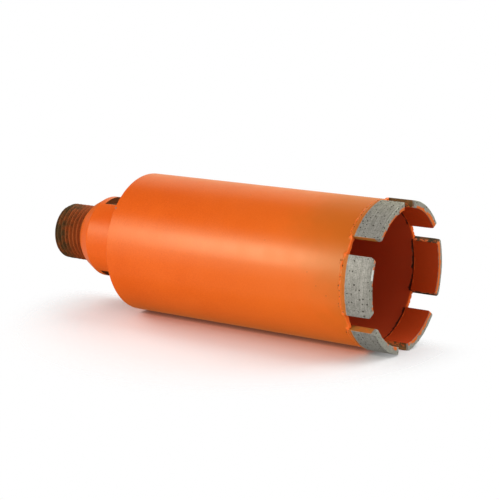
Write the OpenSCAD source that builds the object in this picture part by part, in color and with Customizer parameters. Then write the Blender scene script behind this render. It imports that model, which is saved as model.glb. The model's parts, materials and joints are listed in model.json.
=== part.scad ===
// Diamond core bit for wet drilling: a thin steel tube, six sintered segments
// brazed on its end face, and a turned hub with a male pipe thread.
// Millimetres. +Z runs along the axis towards the thread, and the segments'
// working faces lie on z = 0, so the bit stands on its crown.

/* [Crown] */
// Drilling diameter over the segments
crown_d = 52; // [40:0.5:80]
// Radial thickness of a segment
seg_t = 2.6; // [1.8:0.1:4]
// Height of a segment, from its working face to the tube's end
seg_h = 9.8; // [6:0.1:14]
// Width of the water slot between two segments
slot_w = 6.3; // [3:0.1:10]
// Radius of the corners at the two ends of a working face
seg_corner_r = 0.9; // [0.3:0.1:2]
// Bevel along the inner and outer edges of a working face
seg_bevel = 0.3; // [0.1:0.05:0.6]
// Length of the brazing that runs up the tube behind a segment
braze_len = 1.4; // [0.5:0.1:3]

/* [Tube] */
// Wall thickness of the tube
wall = 1.3; // [0.8:0.1:2.5]
// Length of the tube
tube_len = 98.3; // [60:0.1:400]
// Small bevel on the tube's rear rim
rim_bevel = 0.3; // [0.1:0.05:0.5]

/* [Hub] */
// Thickness of the plate that closes the tube
plate_t = 6; // [3:0.5:12]
// Radial clearance between the plate and the tube, filled by the weld
plate_gap = 0.05; // [0.02:0.01:0.2]
// Diameter of the round hub body
hub_d = 30; // [26:0.5:36]
// Length of the straight hub body behind the tube
hub_len = 18; // [16:0.5:30]
// Hollow radius where the body meets the plate
hub_fillet = 1.5; // [0.5:0.1:3]
// Length of the long taper behind the body
taper_len = 4.6; // [2:0.1:8]
// Diameter at the end of the long taper
taper_d = 25; // [23:0.1:26]
// Length of the steep taper down to the thread
nose_len = 1.7; // [0.8:0.1:3]
// Diameter at the end of the steep taper, the thread's shoulder
nose_d = 22; // [21.5:0.1:23]

/* [Spanner flats] */
// Distance across the two flats
flat_af = 25; // [23.5:0.5:28]
// Distance of the flats from the tube's rear rim
flat_start = 3.5; // [2:0.5:8]
// Length of the flats along the axis
flat_len = 12; // [6:0.5:12.5]
// Turn of the flats against the first segment, degrees
flat_turn = -24; // [-90:1:90]

/* [Thread and water bore] */
// Major diameter of the male pipe thread
thread_d = 20.955; // [19:0.005:21.2]
// Length of the thread with its lead bevel
thread_len = 13.1; // [8:0.1:25]
// Lead bevel at the thread's end
thread_bevel = 0.5; // [0.3:0.1:1.6]
// Diameter of the water bore
bore_d = 10; // [6:0.5:14]
// Bevel at both mouths of the water bore
bore_bevel = 0.7; // [0.3:0.1:1.5]

/* [Hidden] */
seg_count = 6;
seg_pitch = 360 / seg_count;
crown_r = crown_d / 2;
core_r = crown_r - seg_t;
// the tube's wall stands under the middle of the segments
tube_r = crown_r - (seg_t - wall) / 2;
tube_in_r = tube_r - wall;
overhang = crown_r - tube_r;
rim_z = seg_h + tube_len;
plate_z = rim_z - plate_t;
plate_r = tube_in_r - plate_gap;
hub_r = hub_d / 2;
taper_r = taper_d / 2;
nose_r = nose_d / 2;
thread_r = thread_d / 2;
bore_r = bore_d / 2;
body_z = rim_z + hub_len;
taper_z = body_z + taper_len;
nose_z = taper_z + nose_len;
end_z = nose_z + thread_len;
cut = 1;

$fn = 96;

// the room between two segments, across the whole crown and with rounded mouth corners
module water_slot() {
    mouth = slot_w / 2 + seg_corner_r;
    rotate([90, 0, 90])
    linear_extrude(height = crown_r + cut)
    difference() {
        union() {
            translate([-slot_w / 2, -cut])
            square([slot_w, seg_h + braze_len + 2 * cut]);
            translate([-mouth, -cut])
            square([2 * mouth, cut + seg_corner_r]);
        }
        for (side = [-1, 1])
            translate([side * mouth, seg_corner_r])
            circle(r = seg_corner_r, $fn = 32);
    }
}

// a ring profile kept only between two neighbouring water slots
module between_slots(number) {
    rotate([0, 0, (number - 1) * seg_pitch])
    difference() {
        rotate([0, 0, -seg_pitch / 2])
        rotate_extrude(angle = seg_pitch)
        children();
        for (side = [-1, 1])
            rotate([0, 0, side * seg_pitch / 2])
            water_slot();
    }
}

module segment_profile() {
    polygon([
        [core_r + seg_bevel, 0],
        [crown_r - seg_bevel, 0],
        [crown_r, seg_bevel],
        [crown_r, seg_h],
        [core_r, seg_h],
        [core_r, seg_bevel]
    ]);
}

module segment(number) {
    color([0.58, 0.57, 0.55])
    between_slots(number)
    segment_profile();
}

module segment_1() {
    segment(1);
}

module segment_2() {
    segment(2);
}

module segment_3() {
    segment(3);
}

module segment_4() {
    segment(4);
}

module segment_5() {
    segment(5);
}

module segment_6() {
    segment(6);
}

// the brazing that tapers from a segment's back edge down to the tube
module braze_profile() {
    polygon([
        [tube_r - wall / 2, seg_h],
        [tube_r + overhang * 0.8, seg_h],
        [tube_r + overhang * 0.3, seg_h + braze_len * 0.7],
        [tube_r, seg_h + braze_len],
        [tube_r - wall / 2, seg_h + braze_len]
    ]);
}

module barrel_tube() {
    color([0.88, 0.38, 0.1]) {
        rotate_extrude()
        polygon([
            [tube_in_r, seg_h],
            [tube_r, seg_h],
            [tube_r, rim_z - rim_bevel],
            [tube_r - rim_bevel, rim_z],
            [tube_in_r + rim_bevel, rim_z],
            [tube_in_r, rim_z - rim_bevel]
        ]);
        for (number = [1 : seg_count])
            between_slots(number)
            braze_profile();
    }
}

// the turned half section of the hub: plate, body, tapers and thread blank
module hub_profile() {
    difference() {
        polygon([
            [bore_r + bore_bevel, plate_z],
            [plate_r - rim_bevel, plate_z],
            [plate_r, plate_z + rim_bevel],
            [plate_r, rim_z - rim_bevel],
            [plate_r - rim_bevel, rim_z],
            [hub_r + hub_fillet, rim_z],
            [hub_r, rim_z + hub_fillet],
            [hub_r, body_z],
            [taper_r, taper_z],
            [nose_r, nose_z],
            [thread_r, nose_z],
            [thread_r, end_z - thread_bevel],
            [thread_r - thread_bevel, end_z],
            [bore_r + bore_bevel, end_z],
            [bore_r, end_z - bore_bevel],
            [bore_r, plate_z + bore_bevel]
        ]);
        translate([hub_r + hub_fillet, rim_z + hub_fillet])
        circle(r = hub_fillet, $fn = 32);
    }
}

module hub() {
    color([0.86, 0.38, 0.12])
    difference() {
        rotate_extrude()
        hub_profile();
        rotate([0, 0, flat_turn])
        for (side = [-1, 1])
            translate([side * (flat_af / 2 + hub_r) - hub_r, -hub_r, rim_z + flat_start])
            cube([2 * hub_r, 2 * hub_r, flat_len]);
    }
}

barrel_tube();
hub();
segment_1();
segment_2();
segment_3();
segment_4();
segment_5();
segment_6();
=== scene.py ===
# Diamond core bit: its fine forms, finishes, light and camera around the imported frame.
# Lengths are in millimetres and angles in degrees unless a name or comment says otherwise.
# The bit stands on its crown: +Z runs along the axis towards the thread, and the
# middle of segment_1 lies on +X.

import json
import math

import bmesh
import bpy
from mathutils import Matrix, Vector


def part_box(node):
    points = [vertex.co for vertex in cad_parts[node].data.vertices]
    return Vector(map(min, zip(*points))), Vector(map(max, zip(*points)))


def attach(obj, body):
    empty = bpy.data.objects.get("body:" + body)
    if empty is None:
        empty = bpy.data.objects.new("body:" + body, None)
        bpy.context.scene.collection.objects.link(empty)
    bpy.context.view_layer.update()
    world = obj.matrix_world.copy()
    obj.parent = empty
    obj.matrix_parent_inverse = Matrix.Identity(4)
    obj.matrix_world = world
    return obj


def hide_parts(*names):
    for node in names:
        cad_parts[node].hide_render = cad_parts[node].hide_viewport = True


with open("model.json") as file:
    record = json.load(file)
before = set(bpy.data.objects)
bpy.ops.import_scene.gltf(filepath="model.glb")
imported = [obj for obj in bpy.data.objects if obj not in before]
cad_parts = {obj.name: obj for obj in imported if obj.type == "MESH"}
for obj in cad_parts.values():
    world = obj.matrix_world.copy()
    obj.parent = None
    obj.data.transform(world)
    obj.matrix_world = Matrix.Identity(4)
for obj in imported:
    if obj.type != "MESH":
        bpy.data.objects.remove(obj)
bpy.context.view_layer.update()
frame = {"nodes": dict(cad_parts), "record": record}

MM = 0.001
FULL_TURN = 2 * math.pi


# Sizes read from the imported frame

def corner_mm(node, corner):
    """One corner of a node's box, in millimetres: 0 is the lowest and 1 the highest."""
    return Vector(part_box(node)[corner]) / MM


def mount_radius(name):
    """The radius that the record gives for a mount."""
    mount = next(m for m in frame["record"]["mounts"] if m["name"] == name)
    return mount["dims"]["r_mm"]


SEGMENTS = sorted(name for name in frame["nodes"] if name.startswith("segment_"))
crown_r = corner_mm("segment_1", 1).x
seg_h = corner_mm("segment_1", 1).z
rim_z = corner_mm("barrel_tube", 1).z
plate_z = corner_mm("hub", 0).z
plate_r = corner_mm("hub", 1).x
end_z = corner_mm("hub", 1).z
thread_r = mount_radius("thread")
bore_r = mount_radius("water_bore")

# Crown and tube, as in the part's source
seg_t = 2.6
slot_w = 6.3
seg_corner = 0.9
wall = 1.3
rim_bevel = 0.3
tube_r = crown_r - (seg_t - wall) / 2
tube_in_r = tube_r - wall
core_r = crown_r - seg_t
seg_pitch = 360 / len(SEGMENTS)

# Length of the tube behind the segments that the brazing may reshape
braze_reach = 3.5

# Hub, as in the part's source
hub_r = 15.0
hub_fillet = 1.5
body_z = rim_z + 18.0
taper_r = 12.5
taper_z = body_z + 4.6
nose_r = 11.0
nose_z = taper_z + 1.7
bore_bevel = 0.7
flat_half = 12.5
flat_low = rim_z + 3.5
flat_high = flat_low + 12.0
flat_turn = -24.0

# Half-inch pipe thread. The shift along the axis puts its ridges where the photograph shows
# them, and the relief is the plain stretch at its root next to the shoulder.
thread_pitch = 1.814
thread_depth = 1.162
thread_shift = 0.2036
lead_bevel = 0.5
relief_len = 0.45

# Steps round a turned mesh
TUBE_STEPS = 720
HUB_STEPS = 288
# Points closer together than this are merged, in metres
MERGE_M = 1e-6
# Edges that turn by more than this stay sharp
TUBE_SHARP = math.radians(50)
HUB_SHARP = math.radians(28)


def towards(angle):
    """The level direction at an angle round the axis."""
    turn = math.radians(angle)
    return Vector((math.cos(turn), math.sin(turn), 0))


# Node trees

SHADER = "ShaderNodeTree"
GEOMETRY = "GeometryNodeTree"
SOCKET_TYPES = {
    "VALUE": "NodeSocketFloat",
    "VECTOR": "NodeSocketVector",
    "GEOMETRY": "NodeSocketGeometry",
}


def blank(owner):
    """The node tree of a new material or world, cleared."""
    owner.use_nodes = True
    owner.node_tree.nodes.clear()
    return owner.node_tree


class Wire:
    """An output in a node tree. Sums of wires add the maths nodes that they need."""

    def __init__(self, board, socket):
        self.board = board
        self.socket = socket

    def other(self, output):
        """Another output of the same node."""
        return Wire(self.board, self.socket.node.outputs[output])

    def __add__(self, value):
        return self.board.maths("ADD", self, value)

    def __sub__(self, value):
        return self.board.maths("SUBTRACT", self, value)

    def __rsub__(self, value):
        return self.board.maths("SUBTRACT", value, self)

    def __mul__(self, value):
        return self.board.maths("MULTIPLY", self, value)

    def __truediv__(self, value):
        return self.board.maths("DIVIDE", self, value)

    def __rtruediv__(self, value):
        return self.board.maths("DIVIDE", value, self)

    __rmul__ = __mul__


class Board:
    """A node tree with a short call for each kind of node that the bit uses."""

    def __init__(self, tree):
        self.tree = tree

    def feed(self, socket, value):
        """Links a wire to a socket, or sets the socket's own value."""
        if isinstance(value, Wire):
            self.tree.links.new(value.socket, socket)
        else:
            socket.default_value = value

    def node(self, kind, fed=None, **settings):
        """A new node with its settings made and its inputs fed."""
        made = self.tree.nodes.new(kind)
        for name, value in settings.items():
            setattr(made, name, value)
        for key, value in (fed or {}).items():
            self.feed(made.inputs[key], value)
        return made

    def add(self, kind, fed=None, out=0, **settings):
        """A new node; returns one of its outputs."""
        return Wire(self, self.node(kind, fed, **settings).outputs[out])

    def maths(self, operation, *values):
        return self.add("ShaderNodeMath", dict(enumerate(values)), operation=operation)

    def least(self, one, two):
        return self.maths("MINIMUM", one, two)

    def most(self, one, two):
        return self.maths("MAXIMUM", one, two)

    def size(self, value):
        """The value without its sign."""
        return self.maths("ABSOLUTE", value)

    def span(self, one, two):
        """The length of the long side of a right-angled triangle."""
        return self.maths("SQRT", one * one + two * two)

    def soft(self, value, low, high, start=0.0, end=1.0):
        """A soft step from start to end while the value goes from low to high."""
        fed = {"Value": value, "From Min": low, "From Max": high, "To Min": start, "To Max": end}
        return self.add("ShaderNodeMapRange", fed, interpolation_type="SMOOTHSTEP")

    def split(self, vector):
        """The three parts of a vector."""
        x = self.add("ShaderNodeSeparateXYZ", {0: vector})
        return x, x.other(1), x.other(2)

    def join(self, x, y, z):
        return self.add("ShaderNodeCombineXYZ", {0: x, 1: y, 2: z})

    def scaled(self, vector, factor):
        fed = {0: vector, "Scale": factor}
        return self.add("ShaderNodeVectorMath", fed, operation="SCALE")

    def gap_to(self, vector, point):
        """How far a place is from a point."""
        return self.add("ShaderNodeVectorMath", {0: vector, 1: point}, 1, operation="DISTANCE")

    def noise(self, place, lump, detail, seed=0.0):
        """Soft noise from 0 to 1 whose lumps are about lump across."""
        fed = {"Vector": place, "W": seed, "Scale": 1 / lump, "Detail": detail}
        return self.add("ShaderNodeTexNoise", fed, noise_dimensions="4D")

    def pores(self, place, spacing, share, pore):
        """1 in a pore and 0 outside, over x and y; share of the cells hold one."""
        fed = {"Vector": place, "Scale": 1 / spacing}
        cell = self.add("ShaderNodeTexVoronoi", fed, voronoi_dimensions="2D")
        chosen, width, _ = self.split(cell.other(1))
        radius = pore / spacing * (width * 0.8 + 0.6)
        depth = self.soft(cell / radius, 1.0, 0.6)
        return depth * self.maths("LESS_THAN", chosen, share)

    def laid_flat(self, x, y, z):
        """The crown's faces laid out flat: the way round the axis, and up and across."""
        # turned by half a pitch, so that the seam of the angle falls in a slot
        turn = math.radians(seg_pitch / 2)
        ahead = x * math.cos(turn) + y * math.sin(turn)
        aside = y * math.cos(turn) - x * math.sin(turn)
        around = self.maths("ARCTAN2", aside, ahead) * crown_r
        return self.join(around, z + self.span(x, y), 0.0)

    def blend(self, factor, one, two):
        """A colour between two colours."""
        fed = {0: factor, 6: one, 7: two}
        return self.add("ShaderNodeMix", fed, 2, data_type="RGBA", clamp_factor=True)

    def layered(self, colour, *layers):
        """A colour under layers of (factor, colour)."""
        for factor, over in layers:
            colour = self.blend(factor, colour, over)
        return colour

    def reach(self, x, y, way):
        """How far a place lies along a level direction."""
        return x * way.x + y * way.y

    def round_axis(self, radius, angle):
        """The x and y of a point at a radius and an angle."""
        return self.maths("COSINE", angle) * radius, self.maths("SINE", angle) * radius


def open_tree(kind, name, inputs):
    """A new node tree with its inputs. None stands for a mesh or, in a shader, a vector."""
    board = Board(bpy.data.node_groups.new(name, kind))
    empty = SOCKET_TYPES["GEOMETRY" if kind == GEOMETRY else "VECTOR"]
    for label, value in inputs.items():
        socket_type = empty if value is None else SOCKET_TYPES["VALUE"]
        socket = board.tree.interface.new_socket(label, in_out="INPUT", socket_type=socket_type)
        if value is not None:
            socket.default_value = value
    start = board.node("NodeGroupInput")
    given = {label: Wire(board, start.outputs[label]) for label in inputs}
    return board, given


def close_tree(board, outputs):
    """Ends a node tree with its outputs, each of the kind of its wire."""
    for label, wire in outputs.items():
        socket_type = SOCKET_TYPES[wire.socket.type]
        board.tree.interface.new_socket(label, in_out="OUTPUT", socket_type=socket_type)
    board.node("NodeGroupOutput", outputs)
    return board.tree


# Shared effects, as shader groups

def places_group():
    """Where a point of the bit lies: its place, its distance from the axis and its height."""
    board, _ = open_tree(SHADER, "bit_places", {})
    place = board.scaled(board.add("ShaderNodeTexCoord", None, "Object"), 1 / MM)
    x, y, z = board.split(place)
    flat = board.laid_flat(x, y, z)
    return close_tree(board, {"Place": place, "Across": board.span(x, y), "Along": z, "Flat": flat})


def paint_group():
    """A sprayed film: broad and fine tone, the skin's small waves, and dull patches."""
    board, given = open_tree(SHADER, "paint_film", {"Place": None, "Wave": 1.0})
    place = given["Place"]
    broad = board.noise(place, 16.0, 2.0)
    fine = board.noise(place, 0.5, 3.0, 2.0)
    tone = board.soft(broad * 0.4 + fine * 0.6, 0.3, 0.7)
    skin = board.noise(place, 1.4, 1.0, 4.0) * 0.7 + board.noise(place, 0.32, 1.0, 6.0) * 0.3
    dull = board.soft(board.noise(place, 5.0, 4.0, 8.0), 0.42, 0.68)
    return close_tree(board, {"Tone": tone, "Height": skin * given["Wave"], "Dull": dull})


def pores_group():
    """Small dark holes in one share of the cells of a pattern."""
    inputs = {"Place": None, "Spacing": 1.0, "Share": 0.3, "Pore": 0.15}
    board, given = open_tree(SHADER, "pores", inputs)
    return close_tree(board, {"Mask": board.pores(*given.values())})


def overspray_group():
    """Ragged paint that covers more of a surface as its amount goes from 0 to 1."""
    inputs = {"Place": None, "Amount": 0.5, "Ragged": 0.3, "Lump": 1.3}
    board, given = open_tree(SHADER, "overspray", inputs)
    place = given["Place"]
    lumps = board.noise(place, given["Lump"], 4.0, 3.0)
    rough = lumps * 0.7 + board.noise(place, 0.3, 2.0, 5.0) * 0.3
    level = given["Amount"] + (rough - 0.5) * given["Ragged"] * 4.0
    return close_tree(board, {"Mask": board.soft(level, 0.42, 0.58)})


def turning_group():
    """Fine lines round the axis, as a turning tool or a grinding belt leaves them."""
    board, given = open_tree(SHADER, "turning_lines", {"Place": None, "Feed": 0.25})
    x, y, z = board.split(given["Place"])
    lined = board.join(x * 0.04, y * 0.04, z / given["Feed"])
    return close_tree(board, {"Height": board.noise(lined, 1.0, 2.0, 1.0)})


GROUPS = {
    "places": places_group(),
    "paint": paint_group(),
    "pores": pores_group(),
    "overspray": overspray_group(),
    "turning": turning_group(),
}


# Colours, linear
ORANGE = (0.815, 0.124, 0.009, 1)
ORANGE_DEEP = (0.725, 0.094, 0.004, 1)
ORANGE_WARM = (0.80, 0.148, 0.012, 1)
ORANGE_GOLD = (0.60, 0.122, 0.006, 1)
ORANGE_OLIVE = (0.50, 0.126, 0.012, 1)
# brighter orange: fresh braze and paint, and also a painted highlight on crests and on the tube's end
# between segments
ORANGE_FRESH_AND_HIGHLIGHT = (0.95, 0.150, 0.018, 1)
# painted shade: darker orange for the tube's inside and the segments' inner faces, whose paint is the
# orange of the outside
ORANGE_INSIDE_PAINTED_SHADE = (0.61, 0.077, 0.023, 1)
ORANGE_SHADED = (0.56, 0.056, 0.007, 1)
RUST_RED = (0.41, 0.072, 0.011, 1)
BROWN_DARK = (0.045, 0.027, 0.010, 1)
BROWN_OLIVE = (0.072, 0.043, 0.017, 1)
BROWN_WORN = (0.175, 0.073, 0.023, 1)
MAROON = (0.140, 0.032, 0.006, 1)
BURNT = (0.048, 0.025, 0.011, 1)
FLAKE = (0.74, 0.180, 0.035, 1)
SINTER_LIGHT = (0.378, 0.360, 0.318, 1)
SINTER_DARK = (0.190, 0.180, 0.157, 1)
SINTER_FACE = (0.480, 0.480, 0.400, 1)
# the near-white of the painted glint on a working face
PAINTED_GLINT_WHITE = (0.95, 0.95, 0.90, 1)
OLIVE = (0.330, 0.150, 0.030, 1)
PIT_DARK = (0.020, 0.014, 0.010, 1)
CHIP_GREY = (0.200, 0.190, 0.150, 1)
# The tint of the light that every finish mirrors, and of the paint's edges seen at a slant
WARM_TINT = (1.0, 0.95, 0.56, 1)
SPRAYED_EDGE = (1.0, 0.42, 0.06, 1)

# Specks on the tube's outside: height, angle and radius
TUBE_SPECKS = (
    (56.8, -52.7, 0.22),
    (26.4, -35.4, 0.22),
    (42.1, -94.5, 0.18),
    (23.8, -114.0, 0.20),
    (20.2, -123.5, 0.20),
    (16.4, -130.1, 0.24),
    (83.0, 21.0, 0.22),
    (35.5, 64.0, 0.20),
    (67.0, 141.0, 0.24),
    (18.5, 172.0, 0.22),
)
SPECK_DARKNESS = 0.65
# The chip in the paint of the rear rim: height, angle and radius
RIM_CHIP = (107.8, -84.2, 0.55)
# A painted glint on a working face, a near-white patch where a worn facet mirrors the light: radius,
# first and last angle, half width
PAINTED_GLINT_PATCH = (24.4, -114.0, -104.0, 0.55)
# Pits in the sintered metal: their spacing, the share of places with one, and their radius
SEGMENT_PITS = {"Spacing": 1.5, "Share": 0.4, "Pore": 0.27}
# The same for the finer pores between them, and for the pits in the brazing
FINE_PORES = {"Spacing": 0.55, "Share": 0.3, "Pore": 0.10}
BRAZE_PITS = {"Spacing": 0.95, "Share": 0.32, "Pore": 0.24}
# Towards the part of the crown that lay deeper in the brazing flame
FLAME_WAY = towards(60)
# Towards the side on which the heat reached furthest up the tube
HEAT_WAY = towards(-45)
# Heights between which the tube's paint turns warm, and then golden with heat
WARM_FADE = (95.0, 20.0)
HEAT_FADE = (44.0, 16.0)
# How much higher than on average the heat reached on that side, and the span it wanders over
HEAT_LEAN = 14
HEAT_WANDER = 16


class Finish(Board):
    """A material with the bit's coordinates at hand."""

    def __init__(self, name):
        self.material = bpy.data.materials.new(name)
        super().__init__(blank(self.material))
        self.place = self.add("ShaderNodeGroup", None, "Place", node_tree=GROUPS["places"])
        self.across = self.place.other("Across")
        self.along = self.place.other("Along")
        self.flat = self.place.other("Flat")

    def use(self, group, out="Mask", **fed):
        """Adds a shared group; returns one of its outputs."""
        fed = {"Place": self.place} | fed
        return self.add("ShaderNodeGroup", fed, out, node_tree=GROUPS[group])

    def film(self, wave=1.0):
        """Tone, height and dull patches of the sprayed paint."""
        tone = self.use("paint", "Tone", Wave=wave)
        return tone, tone.other("Height"), tone.other("Dull")

    def attribute(self, name):
        """A number stored on the mesh."""
        return self.add("ShaderNodeAttribute", None, 2, attribute_name=name)

    def spot(self, height, angle, radius, core):
        """1 in a round mark on the tube's outside; core is the share of its radius without a rim."""
        turn = math.radians(angle)
        middle = (tube_r * math.cos(turn), tube_r * math.sin(turn), height)
        return self.soft(self.gap_to(self.place, middle), radius, radius * core)

    def surface(self, colour, roughness, height, depth_mm, gloss, metallic=0.0, sheen=0.0):
        """Ends the material with its shader. The height is a bump depth_mm deep."""
        bumped = {"Height": height, "Strength": 1.0, "Distance": depth_mm * MM}
        fed = {
            "Base Color": colour,
            "Roughness": roughness,
            "Metallic": metallic,
            "Specular IOR Level": gloss,
            "Specular Tint": WARM_TINT,
            "Sheen Weight": sheen,
            "Sheen Roughness": 0.4,
            "Sheen Tint": SPRAYED_EDGE,
            "Normal": self.add("ShaderNodeBump", bumped),
        }
        shader = self.add("ShaderNodeBsdfPrincipled", fed)
        self.node("ShaderNodeOutputMaterial", {"Surface": shader})
        return self.material


def tube_paint():
    """Satin orange; duller and more golden near the crown, with a few specks."""
    finish = Finish("tube_paint")
    tone, height, dull = finish.film(1.0)
    outside = finish.soft(finish.across, tube_r - 0.3, tube_r - 0.1)
    inside = finish.soft(finish.across, tube_in_r + 0.4, tube_in_r + 0.2)
    warmed = finish.soft(finish.along, *WARM_FADE) * outside
    x, y, _ = finish.split(finish.place)
    off_heat = 1.0 - finish.reach(x, y, HEAT_WAY) / tube_r
    wander = (finish.noise(finish.place, 6.0, 3.0, 9.0) - 0.5) * HEAT_WANDER
    heated = finish.soft(finish.along + wander + off_heat * HEAT_LEAN, *HEAT_FADE) * outside
    dark = finish.most(finish.attribute("pit"), finish.attribute("flux") * 0.93)
    for speck in TUBE_SPECKS:
        dark = finish.most(dark, finish.spot(*speck, 0.4) * SPECK_DARKNESS)
    colour = finish.layered(
        finish.blend(tone, ORANGE_DEEP, ORANGE),
        (warmed * 0.6, ORANGE_WARM),
        (heated, ORANGE_GOLD),
        # painted shade inside the tube
        (inside, ORANGE_INSIDE_PAINTED_SHADE),
        (finish.attribute("char") * 0.25, OLIVE),
        # brighter orange on the bead's crest and blobs, partly a painted highlight, and a painted
        # highlight on the tube's end between segments
        (finish.attribute("ridge") * 0.8, ORANGE_FRESH_AND_HIGHLIGHT),
        (finish.spot(*RIM_CHIP, 0.6) * 0.7, CHIP_GREY),
        (dark, PIT_DARK),
    )
    roughness = dull * 0.05 + heated * 0.1 + 0.29
    return finish.surface(colour, roughness, height, 0.016, gloss=0.45, sheen=0.2)


def hub_paint():
    """The same orange on turned steel, whose tool lines still show."""
    finish = Finish("hub_paint")
    tone, height, dull = finish.film(0.6)
    lines = finish.use("turning", "Height", Feed=0.3)
    colour = finish.blend(tone, ORANGE_DEEP, ORANGE)
    skin = height + lines * 0.6
    return finish.surface(colour, dull * 0.05 + 0.3, skin, 0.010, gloss=0.45, sheen=0.2)


def flat_finish():
    """Milled steel under a thin dark maroon film."""
    finish = Finish("spanner_flat_film")
    mist = finish.use("overspray", Amount=0.22, Ragged=0.16)
    x, y, z = finish.split(finish.place)
    milled = finish.noise(finish.join(x, y, z * 0.06), 0.35, 2.0, 4.0)
    colour = finish.blend(milled, BROWN_WORN, MAROON)
    colour = finish.blend(mist * 0.5, colour, RUST_RED)
    return finish.surface(colour, milled * 0.15 + 0.4, milled, 0.02, gloss=0.3)


def thread_finish():
    """Blackened steel thread: dark roots, rubbed crests, overspray near the shoulder."""
    finish = Finish("thread_steel")
    tone, height, dull = finish.film(0.6)
    root = finish.soft(finish.across, thread_r - 0.1, thread_r - thread_depth * 0.9)
    patches = finish.soft(finish.noise(finish.place, 4.0, 3.0, 12.0), 0.36, 0.64)
    sprayed = finish.soft(finish.along, end_z - 1.0, nose_z + 1.0, 0.32, 1.15)
    mist = finish.soft(sprayed + (patches - 0.5) * 0.45 + (tone - 0.5) * 0.25, 0.2, 1.0)
    colour = finish.layered(
        finish.blend(patches * 0.6 + tone * 0.3, BROWN_OLIVE, BROWN_WORN),
        (mist * 0.75, RUST_RED),
        (root * 0.2, BROWN_DARK),
    )
    return finish.surface(colour, dull * 0.15 + 0.65, height, 0.015, gloss=0.2)


def bare_metal(finish, end, front, on_inside, wavy):
    """Sintered metal, mottled and scratched round the axis: its colour, its shade and its holes."""
    place = finish.place
    mottle = finish.noise(place, 1.1, 4.0, 3.0) * 0.4 + finish.noise(place, 0.3, 3.0, 5.0) * 0.6
    shade = mottle * 0.55 + finish.use("turning", "Height", Feed=0.16) * 0.45
    holes = finish.use("pores", Place=finish.flat, **FINE_PORES) * 0.75
    holes = finish.most(holes, finish.use("pores", Place=finish.flat, **SEGMENT_PITS))
    holes = holes * (1.0 - end) * (1.0 - on_inside * (1.0 - front))
    # the painted glint: a near-white patch where a worn facet of a working face mirrors the light
    radius, first, last, half_width = PAINTED_GLINT_PATCH
    x, y, _ = finish.split(place)
    turn = finish.maths("ARCTAN2", y, x) * (180 / math.pi)
    off_edge = finish.size(finish.across + wavy - radius) - half_width
    past_end = finish.size(turn + wavy * 2.0 - (first + last) / 2) - (last - first) / 2
    painted_glint = finish.soft(off_edge, 0.1, -0.1) * finish.soft(past_end, 0.3, -0.3) * front
    colour = finish.layered(
        finish.blend(finish.soft(shade, 0.38, 0.62), SINTER_DARK, SINTER_LIGHT),
        (front * 0.9, finish.blend(finish.soft(mottle, 0.4, 0.6), SINTER_LIGHT, SINTER_FACE)),
        (holes * 0.9, PIT_DARK),
        (painted_glint, PAINTED_GLINT_WHITE),
    )
    return colour, shade, holes


def segment_finish():
    """Sintered metal, ground bare outside and in front, with paint left elsewhere."""
    finish = Finish("sintered_segment")
    place = finish.place
    tone, _, dull = finish.film()
    end = finish.attribute("end")
    front = finish.attribute("front")
    on_inside = finish.soft(finish.across, core_r + 0.7, core_r + 0.3)
    wavy = (finish.noise(place, 0.9, 3.0, 31.0) - 0.5) * 1.2
    bare, shade, holes = bare_metal(finish, end, front, on_inside, wavy)
    # the half that lay deeper in the flame holds more burnt and flaked paint
    x, y, _ = finish.split(place)
    into_flame = finish.reach(x, y, FLAME_WAY)
    flamed = finish.soft(into_flame, -14.0, 12.0)
    # paint: all of the inside, thin on the ends, and flakes along the inner front edge
    behind = finish.soft(finish.along, seg_h - 1.5, seg_h - 0.1)
    on_inside = on_inside * finish.soft(finish.along + wavy * 0.4, 0.1, 0.35)
    on_end = finish.soft(finish.along, 0.4, 2.6, 0.2, 0.9) + flamed * 0.35
    on_outside = finish.use("overspray", Amount=behind, Ragged=0.14)
    inner = finish.soft(finish.across, core_r + 2.4, core_r)
    patchy = finish.soft(finish.noise(place, 3.0, 2.0, 19.0), 0.38, 0.58, 0.12, 0.85)
    patchy = patchy + finish.soft(into_flame, 2.0, 20.0) * 0.75
    on_front = finish.use("overspray", Amount=inner * patchy, Ragged=0.42, Lump=0.8)
    over_end = finish.use("overspray", Amount=on_end, Ragged=0.14)
    painted = on_outside + (1.0 - on_outside) * on_inside
    painted = painted + (on_front - painted) * front
    painted = painted + (over_end - painted) * end
    rubbed = finish.soft(finish.noise(place, 2.4, 3.0, 21.0), 0.3, 0.6, 0.6, 1.0) * end
    # a raised bead of brazing along the inside of the back edge and blobs on the ends, in a brighter
    # orange that is partly a painted highlight
    seam = finish.soft(finish.size(finish.along + wavy * 0.25 - seg_h + 0.3), 0.3, 0.1)
    blobs = finish.soft(finish.noise(place, 1.0, 1.0, 27.0), 0.48, 0.56) * flamed * end
    blobs = blobs * finish.soft(finish.across, core_r + 1.5, core_r + 0.9)
    patches = finish.soft(finish.noise(place, 1.6, 3.0, 33.0), 0.42, 0.58)
    braze_and_highlight = finish.most(seam * patches * on_inside * (1.0 - end), blobs)
    paint = finish.layered(
        finish.blend(tone, ORANGE_DEEP, ORANGE),
        # painted shade on the segments' inner faces
        (on_inside * (1.0 - front), ORANGE_SHADED),
        (front * 0.7, FLAKE),
        (on_outside * (1.0 - on_inside), ORANGE_OLIVE),
        (rubbed, OLIVE),
        (rubbed * flamed, BURNT),
        # the brazing's brighter orange, partly a painted highlight
        (braze_and_highlight * 0.7, ORANGE_FRESH_AND_HIGHLIGHT),
    )
    colour = finish.blend(painted, bare, paint)
    raised = finish.most(on_front * front, braze_and_highlight)
    height = shade * 0.5 - holes * 1.5 + raised * 0.8 + braze_and_highlight * 1.2
    metallic = (1.0 - painted) * 0.25
    return finish.surface(colour, dull * 0.08 + 0.5, height, 0.05, 0.32, metallic)


# Geometry trees

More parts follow.
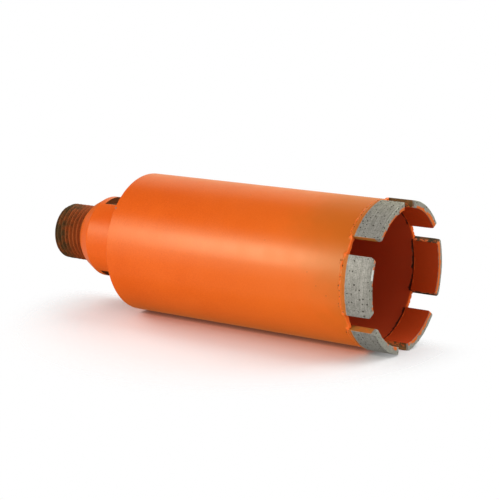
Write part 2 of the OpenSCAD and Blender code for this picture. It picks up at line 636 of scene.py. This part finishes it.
def grow(name, tree, sizes, base=None):
    """Runs a geometry tree with its sizes set and returns the result as a plain mesh."""
    carrier = bpy.data.objects.new(name, base or bpy.data.meshes.new(name))
    bpy.context.collection.objects.link(carrier)
    modifier = carrier.modifiers.new(name, "NODES")
    modifier.node_group = tree
    for item in tree.interface.items_tree:
        if item.in_out == "INPUT" and item.socket_type == SOCKET_TYPES["VALUE"]:
            modifier[item.identifier] = sizes.get(item.name, item.default_value)
    evaluated = carrier.evaluated_get(bpy.context.evaluated_depsgraph_get())
    mesh = bpy.data.meshes.new_from_object(evaluated)
    mesh.name = name
    bpy.data.objects.remove(carrier)
    return mesh


def close_mesh(board, mesh, material):
    """Ends a geometry tree: smooth faces, real geometry and a material."""
    mesh = board.add("GeometryNodeSetShadeSmooth", {"Geometry": mesh, "Shade Smooth": True})
    mesh = board.add("GeometryNodeRealizeInstances", {"Geometry": mesh})
    mesh = board.add("GeometryNodeSetMaterial", {"Geometry": mesh, "Material": material})
    return close_tree(board, {"Mesh": mesh})


def moved(board, mesh, x, y, z):
    """Puts each point of a mesh at a place given in millimetres."""
    place = board.scaled(board.join(x, y, z), MM)
    return board.add("GeometryNodeSetPosition", {"Geometry": mesh, "Position": place})


def stored(board, mesh, name, value):
    """Stores a number on each point of a mesh."""
    fed = {"Geometry": mesh, "Name": name, "Value": value}
    return board.add("GeometryNodeStoreNamedAttribute", fed)


def rounding(board, one, two):
    """How much a square corner's two distances shrink so that it becomes round."""
    return board.most(one, two) / board.most(board.span(one, two), 1e-6)


def segment_tree(material):
    """One segment: a fine block bent round the axis, with worn edges and open pores."""
    sizes = {
        "Crown Radius": crown_r,
        "Thickness": seg_t,
        "Height": seg_h,
        "Slot Width": slot_w,
        "Corner Radius": seg_corner,
        "Edge Radius": 0.13,
        "Wear": 0.3,
        "Grain": 0.05,
        "End Grain": 0.03,
        "Pit Depth": 0.13,
        "Pitch": seg_pitch,
        "Turn": 0.0,
        "Seed": 0.0,
    }
    board, given = open_tree(GEOMETRY, "segment_block", sizes)
    counts = ((18, 132, 64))
    fed = {0: (2, 2, 2), 1: counts[0], 2: counts[1], 3: counts[2]}
    block = board.add("GeometryNodeMeshCube", fed)
    x, y, z = board.split(board.add("GeometryNodeInputPosition"))
    block = stored(board, block, "end", board.soft(board.size(y), 0.985, 1.0))
    block = stored(board, block, "front", board.soft(z, -0.97, -1.0))

    def crowded(share):
        """The rows of a face lie closer together near its edges."""
        return share + board.maths("SINE", share * math.pi) * (0.45 / math.pi)

    def bent(radius, side):
        """The x and y of a point of the ring, whose ends lie parallel to the slot."""
        half_angle = half_pitch - board.maths("ARCSINE", half_slot / radius)
        return board.round_axis(radius, side / half_s * half_angle + turn)

    half_t = given["Thickness"] * 0.5
    mid_r = given["Crown Radius"] - half_t
    half_pitch = board.maths("RADIANS", given["Pitch"] * 0.5)
    half_slot = given["Slot Width"] * 0.5
    half_s = mid_r * half_pitch - half_slot
    turn = board.maths("RADIANS", given["Turn"])
    out = crowded(x) * half_t
    side = crowded(y) * half_s
    height = given["Height"]
    up = (crowded(z) + 1.0) * 0.5 * height
    out_sign = board.maths("SIGN", out)
    side_sign = board.maths("SIGN", side)
    side_size = board.size(side)
    # the round corners at both ends of the working face
    corner = given["Corner Radius"]
    past_side = board.most(side_size - (half_s - corner), 0.0)
    past_up = board.most(corner - up, 0.0)
    shrink = rounding(board, past_side, past_up)
    side_round = board.least(side_size, half_s - corner) + past_side * shrink
    up_round = board.most(up, corner) - past_up * shrink
    # worn edges between the curved faces and the outline
    lumps = board.noise(board.join(out, side, up), 1.6, 3.0, given["Seed"])
    near_front = board.soft(up, 3.0, 0.0)
    worn = board.most(lumps - 0.35, 0.0) * given["Wear"] * 2.5 * near_front
    edge = given["Edge Radius"] + worn
    depth = board.least(half_s - side_size, board.least(up, height - up))
    past_out = board.most(board.size(out) - (half_t - edge), 0.0)
    past_in = board.most(edge - depth, 0.0)
    shrink = rounding(board, past_out, past_in)
    out_round = board.least(board.size(out), half_t - edge) + past_out * shrink
    inset = past_in * (1.0 - shrink)
    # grain and pits sink into the faces
    before_x, before_y = bent(mid_r + out_sign * out_round, side)
    flat = board.laid_flat(before_x, before_y, up)
    pit = board.pores(flat, *SEGMENT_PITS.values())
    # paint fills the pits of the inside
    open_side = board.most(out_sign, board.soft(up, 0.5, 0.1))
    pit = pit * board.soft(depth, 0.05, 0.3) * open_side
    grain = board.noise(board.join(before_x, before_y, up), 0.55, 3.0, given["Seed"])
    sunk = grain * given["Grain"] + pit * given["Pit Depth"]
    out_new = out_sign * (out_round - sunk * (out_round / half_t))
    side_new = side_sign * (side_round - (inset + grain * given["End Grain"]) * (side_round / half_s))
    up_new = up_round + (inset + sunk) * (1.0 - up_round * 2.0 / height)
    block = moved(board, block, *bent(mid_r + out_new, side_new), up_new)
    return close_mesh(board, block, material)


def thread_tree(material):
    """A helical thread that closes the gap left in the turned hub."""
    sizes = {
        "Mesh": None,
        "Radius": thread_r,
        "Depth": thread_depth,
        "Pitch": thread_pitch,
        "Shift": thread_shift,
        "Start": nose_z,
        "End": end_z,
        "Lead Bevel": lead_bevel,
        "Relief": relief_len,
        "Dents": 0.14,
    }
    board, given = open_tree(GEOMETRY, "pipe_thread", sizes)
    # with these rows and this shift no point falls on the end face by chance
    rows_a_pitch = 16
    turns = math.ceil((end_z - nose_z) / thread_pitch) + 2
    rows = turns * rows_a_pitch
    fed = {"Size X": 1.0, "Size Y": 1.0, "Vertices X": HUB_STEPS + 1, "Vertices Y": rows + 1}
    sheet = board.add("GeometryNodeMeshGrid", fed)
    x, y, _ = board.split(board.add("GeometryNodeInputPosition"))
    share = x + 0.5
    phase = (y + 0.5) * turns
    raw = given["Start"] + given["Shift"] + given["Pitch"] * (phase - 1.5 + share)
    up = board.least(board.most(raw, given["Start"]), given["End"])
    wave = 1.0 - board.size(board.maths("FRACT", phase) - 0.5) * 2.0
    cut = board.soft(wave, 0.0, 1.0)
    angle = share * FULL_TURN
    spot = board.join(*board.round_axis(given["Radius"], angle), up)
    dents = board.soft(board.noise(spot, 1.3, 2.0, 2.0), 0.48, 0.72) * given["Dents"]
    bevel = given["Lead Bevel"]
    root = given["Radius"] - given["Depth"]
    ridge = given["Radius"] - given["Depth"] * cut - dents * (1.0 - cut)
    lead = board.most(up - (given["End"] - bevel), 0.0) / bevel
    at_lead = given["Radius"] - bevel * lead
    at_shoulder = root + board.most(up - given["Start"] - given["Relief"], 0.0)
    radius = board.least(ridge, board.least(at_lead, at_shoulder))
    # the rows past the thread's end lie on its end face
    past = board.maths("GREATER_THAN", raw, given["End"] + given["Pitch"] / rows_a_pitch)
    radius = radius + (root - radius) * past
    sheet = moved(board, sheet, *board.round_axis(radius, angle), up)
    both = board.node("GeometryNodeJoinGeometry")
    for mesh in (given["Mesh"], sheet):
        board.feed(both.inputs[0], mesh)
    fed = {"Geometry": Wire(board, both.outputs[0]), "Distance": 2 * MERGE_M}
    return close_mesh(board, board.add("GeometryNodeMergeByDistance", fed), material)


def braze_tree(material):
    """Brazing behind each segment: a slope up to its back edge, a wavy bead and pits."""
    sizes = {
        "Mesh": None,
        "Tube Radius": tube_r,
        "Inner Radius": tube_in_r,
        "Seam Height": seg_h,
        "Slope Height": 0.45,
        "Slope Length": 1.3,
        "Bead Height": 0.26,
        "Bead Width": 0.5,
        "Pit Depth": 0.15,
        "Flux Depth": 0.12,
        "Edge Bumps": 0.2,
        "Slot Width": slot_w,
        "Pitch": seg_pitch,
    }
    board, given = open_tree(GEOMETRY, "braze_beads", sizes)
    seam = given["Seam Height"]
    place = board.scaled(board.add("GeometryNodeInputPosition"), 1 / MM)
    x, y, z = board.split(place)
    radius = board.span(x, y)
    angle = board.maths("ARCTAN2", y, x)
    pitch = board.maths("RADIANS", given["Pitch"])
    from_slot = board.maths("FLOORED_MODULO", angle, pitch) - pitch * 0.5
    aside = radius * board.size(board.maths("SINE", from_slot)) - given["Slot Width"] * 0.5
    # the bead runs back towards the tube's end at both ends of a segment
    fine = board.noise(place, 0.75, 2.0, 7.0)
    wander = (board.noise(place, 2.4, 3.0, 5.0) - 0.5) * 0.55 + (fine - 0.5) * 0.5
    reach = board.soft(aside, -0.1, 2.2, 0.35, 1.0)
    bead_z = seam + (given["Slope Length"] + wander) * reach
    held = board.soft(aside, -0.15, 0.3)
    share = (z - seam) / (bead_z - seam)
    slope = board.soft(share, 1.0, 0.0) * given["Slope Height"] * held
    off_bead = board.size(z - bead_z)
    line = board.soft(off_bead, given["Bead Width"], 0.05) * held
    bumps = board.soft(board.noise(place, 1.0, 2.0, 9.0), 0.35, 0.65)
    bead = line * given["Bead Height"] * (bumps * 0.9 + 0.25)
    # blobs at the ends of a segment, and an uneven edge between two segments
    off_blob = board.span(aside, (z - seam - 0.55) * 0.9)
    blob = board.soft(off_blob, 1.05, 0.1) * (board.noise(place, 1.4, 2.0, 11.0) * 0.7 + 0.1)
    open_edge = board.soft(z, seam + 0.9, seam + 0.2) * (1.0 - held)
    blob = blob + open_edge * bumps * given["Edge Bumps"]
    outside = board.maths("GREATER_THAN", radius, given["Tube Radius"] - 0.4)
    outside = outside * board.maths("LESS_THAN", z, seam + braze_reach)
    pit = board.pores(board.laid_flat(x, y, z), *BRAZE_PITS.values()) * held * outside
    pit = pit * board.soft(board.size(z - bead_z - 0.25), 0.8, 0.6)
    added = (slope + bead + blob - pit * given["Pit Depth"]) * outside
    # a dark jagged band inside, sunk a little into the wall just behind each segment's step
    inside = board.maths("LESS_THAN", radius, given["Inner Radius"] + 0.05)
    jagged = (fine - 0.5) * 1.3 + (board.noise(place, 2.6, 2.0, 13.0) - 0.5) * 2.2
    flux = board.soft(z - jagged, seam + 1.2, seam + 0.95)
    flux = flux * held * inside
    factor = (radius + added + flux * given["Flux Depth"]) / radius
    # painted highlight, with fresh braze, along the bead's crest and on the blobs
    ridge = board.least(line * (bumps * 0.8 + 0.2) + board.soft(blob, 0.05, 0.25), 1.0) * outside
    # the tube's end between two segments: a painted highlight in the brighter orange, and an uneven
    # edge
    lip = board.soft(z, seam + 0.55, seam + 0.3) * (1.0 - held)
    ridge = board.most(ridge, lip)
    char = board.soft(share, 1.0, 0.9) * held * outside * board.soft(fine, 0.3, 0.6, 0.4, 1.0)
    mesh = given["Mesh"]
    for name, value in {"ridge": ridge, "pit": pit, "char": char, "flux": flux}.items():
        mesh = stored(board, mesh, name, value)
    mesh = moved(board, mesh, x * factor, y * factor, z - lip * bumps * given["Edge Bumps"])
    return close_mesh(board, mesh, material)


def weld_tree(material):
    """A low rippled weld in the groove between the plate and the tube's rim."""
    sizes = {"Radius": plate_r + 0.03, "Height": rim_z - 0.1, "Bead": 0.27, "Ripples": 170.0}
    board, given = open_tree(GEOMETRY, "rear_weld", sizes)
    ring = board.add("GeometryNodeCurvePrimitiveCircle", {"Resolution": TUBE_STEPS, "Radius": 1.0})
    section = board.add("GeometryNodeCurvePrimitiveCircle", {"Resolution": 8, "Radius": MM})
    x, y, _ = board.split(board.add("GeometryNodeInputPosition"))
    angle = board.maths("ARCTAN2", y, x)
    ripple = board.maths("SINE", angle * given["Ripples"]) * 0.1
    rough = board.noise(board.join(x * 24.0, y * 24.0, 0.0), 2.2, 3.0, 3.0) * 0.4
    thickness = given["Bead"] * (ripple + rough + 0.75)
    ring = moved(board, ring, x * given["Radius"], y * given["Radius"], given["Height"])
    # the section is a circle of one millimetre, and its scale along the ring is the thickness
    fed = {"Curve": ring, "Profile Curve": section, "Scale": thickness}
    return close_mesh(board, board.add("GeometryNodeCurveToMesh", fed), material)


# Turned meshes

def spaced(start, end, longest):
    """Points from start towards end, no further apart than longest; the end is left out."""
    count = max(1, math.ceil(math.dist(start, end) / longest))
    return [tuple(a + (b - a) * i / count for a, b in zip(start, end)) for i in range(count)]


# The extra row beside a rounded corner that keeps the face next to it flat
SUPPORT = 0.08
# The step between two rings that make a square wall, just too long to be merged
HAIR = 0.001
# Steps in a rounded corner
ROUND_STEPS = 4


def rounded(outline):
    """The closed outline of (radius, height, rounding) with its corners made round."""
    points = []
    for number, (r, z, rounding_mm) in enumerate(outline):
        here = Vector((r, z))
        before = Vector(outline[number - 1][:2])
        after = Vector(outline[(number + 1) % len(outline)][:2])
        if not rounding_mm:
            points.append((r, z))
            continue
        to_before = (before - here).normalized()
        to_after = (after - here).normalized()
        first = here + to_before * rounding_mm
        last = here + to_after * rounding_mm
        points.append(tuple(first + to_before * SUPPORT))
        for i in range(ROUND_STEPS + 1):
            t = i / ROUND_STEPS
            spot = first * (1 - t) ** 2 + here * (2 * t * (1 - t)) + last * t ** 2
            points.append(tuple(spot))
        points.append(tuple(last + to_after * SUPPORT))
    return points


def turned_mesh(name, rows, steps, closed, shape=None):
    """A mesh turned round the axis from rows of (radius, height); shape may move its points."""
    mesh = bpy.data.meshes.new(name)
    work = bmesh.new()
    rings = []
    for radius, height in rows:
        ring = []
        for step in range(steps):
            angle = FULL_TURN * step / steps
            angle_here, radius_here = shape(angle, radius, height) if shape else (angle, radius)
            x = radius_here * math.cos(angle_here) * MM
            y = radius_here * math.sin(angle_here) * MM
            ring.append(work.verts.new((x, y, height * MM)))
        rings.append(ring)
    pairs = list(zip(rings, rings[1:]))
    if closed:
        pairs.append((rings[-1], rings[0]))
    for low, high in pairs:
        for step in range(steps):
            after = (step + 1) % steps
            work.faces.new((low[step], low[after], high[after], high[step]))
    bmesh.ops.remove_doubles(work, verts=work.verts, dist=MERGE_M)
    bmesh.ops.recalc_face_normals(work, faces=work.faces)
    work.to_mesh(mesh)
    work.free()
    return mesh


def tube_rows():
    """The tube wall's closed section, with fine rows where the brazing lies."""
    fine_top = seg_h + braze_reach + 0.1
    rim = [(tube_in_r, rim_z - 1.0, 0), (tube_in_r, rim_z, 0.2), (tube_r, rim_z, 0.15)]
    rows = rounded(rim + [(tube_r, rim_z - 1.0, 0)])
    rows += spaced((tube_r, rim_z - 3.0), (tube_r, fine_top), 6.0)
    rows += spaced((tube_r, fine_top), (tube_r, seg_h + 0.5), 0.12)
    end = [(tube_r, seg_h + 0.5, 0), (tube_r, seg_h, 0.3), (tube_in_r, seg_h, 0.2)]
    rows += rounded(end + [(tube_in_r, seg_h + 0.5, 0)])
    rows += spaced((tube_in_r, seg_h + 0.7), (tube_in_r, seg_h + 2.5), 0.2)
    rows += spaced((tube_in_r, seg_h + 2.5), (tube_in_r, rim_z - 1.0), 8.0)
    return rows


# Where the flats' four edges lie round the hub
FLAT_EDGE = math.acos(flat_half / hub_r)
FLAT_EDGES = [
    math.radians(flat_turn) + side * FLAT_EDGE + half_turn
    for side in (-1, 1)
    for half_turn in (0, math.pi)
]


def flattened(angle, radius, height):
    """Cuts the two spanner flats and moves the nearest points onto their edges."""
    if not (flat_low <= height <= flat_high and radius > flat_half):
        return angle, radius
    for edge in FLAT_EDGES:
        off = math.remainder(angle - edge, FULL_TURN)
        if abs(off) <= FULL_TURN / HUB_STEPS / 2:
            return angle - off, radius
    across = abs(math.cos(angle - math.radians(flat_turn)))
    return angle, min(radius, flat_half / max(across, 1e-3))


def hub_rows():
    """The hub's section from the thread's shoulder round to the thread's far end."""
    root = thread_r - thread_depth
    fillet_r = hub_r + hub_fillet
    outline = [
        (root, nose_z, 0),
        (nose_r, nose_z, 0.12),
        (taper_r, taper_z, 0.3),
        (hub_r, body_z, 0.3),
    ]
    rows = rounded(outline + [(hub_r, flat_high + 0.4, 0)])
    rows += [(hub_r + HAIR, flat_high + HAIR), (hub_r, flat_high)]
    rows += spaced((hub_r, flat_high), (hub_r, flat_low), 3.0)[1:]
    rows += [(hub_r, flat_low), (hub_r + HAIR, flat_low - HAIR)]
    # the hollow between the body and the plate, a quarter of a circle
    for i in range(9):
        turn = math.pi / 2 * i / 8
        height = rim_z + hub_fillet - hub_fillet * math.sin(turn)
        rows.append((fillet_r - hub_fillet * math.cos(turn), height))
    plate = [
        (plate_r - rim_bevel, rim_z, 0.05),
        (plate_r, rim_z - rim_bevel, 0.05),
        (plate_r, plate_z + rim_bevel, 0.05),
        (plate_r - rim_bevel, plate_z, 0.05),
        (bore_r + bore_bevel, plate_z, 0.1),
        (bore_r, plate_z + bore_bevel, 0.1),
        (bore_r, end_z - bore_bevel, 0.1),
        (bore_r + bore_bevel, end_z, 0.1),
    ]
    closing = rounded([(fillet_r, rim_z, 0)] + plate + [(root, end_z, 0)])
    return rows + closing[1:]


# Pieces

def add_piece(name, mesh, slot, *nodes):
    """Puts a finished mesh in the scene as a piece that stands for some nodes."""
    piece = bpy.data.objects.new(name, mesh)
    bpy.context.collection.objects.link(piece)
    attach(piece, "root")
    if nodes:
        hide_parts(*nodes)


def build_tube():
    """The painted wall, with the brazing that holds the segments."""
    wall_mesh = turned_mesh("tube_wall", tube_rows(), TUBE_STEPS, closed=True)
    mesh = grow("tube_wall", braze_tree(tube_paint()), {}, wall_mesh)
    mesh.set_sharp_from_angle(angle=TUBE_SHARP)
    add_piece("painted_tube", mesh, "paint", "barrel_tube")


def build_hub(paint):
    """The turned hub with its flats and its thread, each face in its own finish."""
    turned = turned_mesh("hub_body", hub_rows(), HUB_STEPS, closed=False, shape=flattened)
    mesh = grow("hub_body", thread_tree(paint), {}, turned)
    mesh.materials.clear()
    for material in (paint, thread_finish(), flat_finish()):
        mesh.materials.append(material)
    painted, threaded, milled = range(3)
    mesh.set_sharp_from_angle(angle=HUB_SHARP)
    flat_way = towards(flat_turn)
    for face in mesh.polygons:
        centre = face.center / MM
        across = math.hypot(centre.x, centre.y)
        out = abs(centre.dot(flat_way))
        # a face of a flat, or of the walls at its two ends
        on_flat = abs(out - flat_half) < 0.05 and abs(face.normal.dot(flat_way)) > 0.98
        on_wall = out > flat_half and abs(face.normal.z) > 0.9
        face.material_index = painted
        if centre.z > nose_z + 0.02 or across < bore_r + 0.2:
            face.material_index = threaded
        elif flat_low - 0.1 < centre.z < flat_high + 0.1 and (on_flat or on_wall):
            face.material_index = milled
    add_piece("threaded_hub", mesh, "paint", "hub")


def build_segments():
    """The six segments from one tree, each with its own grain."""
    tree = segment_tree(segment_finish())
    for number, node in enumerate(SEGMENTS):
        sizes = {"Turn": number * seg_pitch, "Seed": 3.7 * number}
        mesh = grow(node + "_metal", tree, sizes)
        add_piece("diamond_" + node, mesh, "segment", node)


def build_weld(paint):
    """The weld between the hub's plate and the tube."""
    add_piece("rear_weld", grow("rear_weld", weld_tree(paint), {}), "paint")


# Stage, light and camera

UP_IN_PHOTO = towards(-32.5)
# Across the lying bit, away from the camera
FAR_SIDE = Vector((-UP_IN_PHOTO.y, UP_IN_PHOTO.x, 0))
# How far the photographed floor lies inside the crown's outline
FLOOR_INSIDE = 0.15
# The lights point at the first place, and the stage fades out round the second between two
# distances and is twice its half across, all in metres
AIM = Vector((0, 0, 0.06))
FADE_FROM = Vector((0, 0, 0.068))
STAGE_FADE = (0.095, 0.058)
STAGE_HALF = 0.6
# Width of the dark line where the bit touches the stage, a painted contact shade
CONTACT = 1.8
WHITE = (1.0, 1.0, 1.0, 1)
# The stage's own light, the world's light on the bit, and what the bit mirrors of it
STAGE_GLOW = 0.02
AMBIENT = 0.30
MIRRORED = 0.04


def stage_surface(name, centre, facing, material):
    """A pale square that throws no shadow of its own."""
    turn = facing.to_track_quat("Z", "Y")
    signs = ((-1, -1), (1, -1), (1, 1), (-1, 1))
    corners = [centre + turn @ (Vector((x, y, 0)) * STAGE_HALF) for x, y in signs]
    mesh = bpy.data.meshes.new(name)
    mesh.from_pydata(corners, [], [(0, 1, 2, 3)])
    mesh.materials.append(material)
    surface = bpy.data.objects.new(name, mesh)
    bpy.context.collection.objects.link(surface)
    surface.visible_shadow = False
    return surface


def stage_material():
    """White under plain light, with the bit's shadow and a painted contact shade; clear from behind
    and to other rays.
    """
    material = bpy.data.materials.new("pale_stage")
    board = Board(blank(material))
    seen = board.add("ShaderNodeLightPath", None, "Is Camera Ray")
    behind = board.add("ShaderNodeNewGeometry", None, "Backfacing")
    # painted contact shade: ambient occlusion darkens the stage's colour close to the bit
    open_air = board.add("ShaderNodeAmbientOcclusion", {"Distance": CONTACT * MM}, "AO")
    tone = board.soft(open_air, 0.05, 0.95, 0.28, 1.0)
    pale = board.add("ShaderNodeBsdfDiffuse", {"Color": board.join(tone, tone, tone)})
    glow = board.add("ShaderNodeEmission", {"Color": WHITE, "Strength": STAGE_GLOW})
    lit = board.add("ShaderNodeAddShader", {0: pale, 1: glow})
    clear = board.add("ShaderNodeBsdfTransparent")
    place = board.add("ShaderNodeTexCoord", None, "Object")
    near = board.soft(board.gap_to(place, tuple(FADE_FROM)), *STAGE_FADE)
    # the photographed floor ends above the crown on the bit's far side
    x, y, z = board.split(place)
    beyond = board.reach(x, y, FAR_SIDE)
    past_crown = board.soft(beyond, 0.002, 0.014) * board.soft(z, 0.004, 0.014)
    near = near * (1.0 - board.most(past_crown, board.soft(beyond, 0.006, 0.022)))
    mixed = board.add("ShaderNodeMixShader", {0: seen * near * (1.0 - behind), 1: clear, 2: lit})
    board.node("ShaderNodeOutputMaterial", {"Surface": mixed})
    return material


def light_world():
    """Even soft light, white to the camera."""
    world = bpy.data.worlds.new("studio")
    bpy.context.scene.world = world
    board = Board(blank(world))
    seen = board.add("ShaderNodeLightPath", None, "Is Camera Ray")
    soft_light = seen.other("Is Glossy Ray") * (MIRRORED - AMBIENT) + AMBIENT
    strength = board.most(board.most(seen, seen.other("Is Transmission Ray")), soft_light)
    glow = board.add("ShaderNodeBackground", {"Color": WHITE, "Strength": strength})
    board.node("ShaderNodeOutputWorld", {"Surface": glow})


# Softboxes that light the bit: azimuth, elevation, then distance, width and height in
# metres, and brightness
BIT_LIGHTS = {
    "key": (-102, 30, 0.77, 0.30, 0.15, 10.8),
    "key_side": (-90, 33, 0.77, 0.30, 0.40, 2.4),
    "key_crown": (-107, 12, 0.77, 0.30, 0.15, 6.0),
    "low": (-150, 0, 0.80, 0.50, 0.50, 2.5),
    "key_low": (-122, 31, 0.77, 0.30, 0.30, 1.2),
    "top": (-10, -18, 0.80, 1.00, 0.70, 1.5),
    "back": (28, 30, 0.80, 0.80, 0.60, 0.7),
    "front": (-140, -25, 0.80, 0.50, 0.50, 0.5),
    "near_side": (-146, 34, 0.80, 0.60, 0.50, 0.3),
    "hub_side": (110, 72, 0.80, 0.70, 0.60, 0.3),
    "rim": (25, -12, 0.80, 0.60, 0.60, 3.0),
    "crown": (-45, -82, 0.85, 0.30, 0.30, 8.2),
    "far_side": (76, 24, 0.80, 0.50, 0.50, 2.7),
}
# These two light the tube's bore and its far side without being mirrored in the bit
NOT_MIRRORED = ("crown", "far_side")
# Softboxes that light the stage only, so that its shadow can be as deep as in the photograph
STAGE_LIGHTS = {
    "stage_top": (-33, 60, 0.80, 0.50, 0.50, 3.3),
    "stage_right": (-10, -38, 0.80, 0.60, 0.60, 2.7),
    "stage_back": (45, 24, 0.80, 0.50, 0.40, 0.3),
    "stage_front": (-85, 0, 0.80, 0.50, 0.50, 1.3),
    "stage_rear": (-75, 50, 0.80, 0.60, 0.60, 1.5),
}
# The shadow beside the bit is pinker than the light that the bit throws on it makes it, and
# the light along the bit's far outline is a little warmer than the rest
PINK = (1.0, 0.87, 0.83)
YELLOW = (1.0, 1.0, 0.80)
LIGHT_TINTS = {"stage_front": PINK, "stage_rear": PINK, "rim": YELLOW, "back": YELLOW}


def stage_link(name, stage, state):
    """A collection that links a light to the stage, or keeps the light off it."""
    linked = bpy.data.collections.new(name)
    for surface in stage:
        linked.objects.link(surface)
    for member in linked.collection_objects:
        member.light_linking.link_state = state
    return linked


def light_softboxes(lights, link):
    """Area lights that point at the bit and light only what the link lets them."""
    for name, (azimuth, elevation, distance, width, height, brightness) in lights.items():
        lamp = bpy.data.lights.new(name, "AREA")
        lamp.shape = "RECTANGLE"
        lamp.size = width
        lamp.size_y = height
        lamp.energy = brightness * math.pi * width * height
        lamp.color = LIGHT_TINTS.get(name, (1.0, 1.0, 1.0))
        way = Vector((1, 0, 0))
        way.rotate(Matrix.Rotation(math.radians(-elevation), 3, "Y"))
        way.rotate(Matrix.Rotation(math.radians(azimuth), 3, "Z"))
        box = bpy.data.objects.new(name, lamp)
        bpy.context.collection.objects.link(box)
        box.location = AIM + way * distance
        box.rotation_euler = way.to_track_quat("Z", "Y").to_euler()
        box.visible_camera = False
        box.visible_glossy = name not in NOT_MIRRORED
        box.light_linking.receiver_collection = link


# The photograph's camera, fitted to the outlines: its axes, its place and its lens
CAMERA_RIGHT = Vector((0.2983, 0.4685, -0.8316))
CAMERA_UP = Vector((0.9182, -0.3788, 0.1160))
CAMERA_PLACE = Vector((-140.11, -435.23, -232.20))
SENSOR_WIDTH = 36.0
LENS = 110.0


def place_camera():
    """The photograph's camera, turned with the bit so that the bit can stand upright."""
    turn = Matrix((CAMERA_RIGHT, CAMERA_UP, CAMERA_RIGHT.cross(CAMERA_UP))).transposed()
    data = bpy.data.cameras.new("photo_camera")
    data.sensor_width = SENSOR_WIDTH
    data.lens = LENS
    data.clip_start = 0.01
    data.clip_end = 10.0
    camera = bpy.data.objects.new("photo_camera", data)
    bpy.context.collection.objects.link(camera)
    camera.matrix_world = Matrix.Translation(CAMERA_PLACE * MM) @ turn.to_4x4()
    bpy.context.scene.camera = camera


bpy.context.scene.view_settings.view_transform = "Standard"
place_camera()
satin_orange = hub_paint()
build_tube()
build_hub(satin_orange)
build_segments()
build_weld(satin_orange)
pale = stage_material()
stage = (
    stage_surface("floor", Vector((0, 0, 0)), Vector((0, 0, 1)), pale),
    stage_surface("photo_floor", UP_IN_PHOTO * (FLOOR_INSIDE - crown_r) * MM, UP_IN_PHOTO, pale),
)
light_world()
light_softboxes(BIT_LIGHTS, stage_link("not_on_stage", stage, "EXCLUDE"))
light_softboxes(STAGE_LIGHTS, stage_link("stage_only", stage, "INCLUDE"))
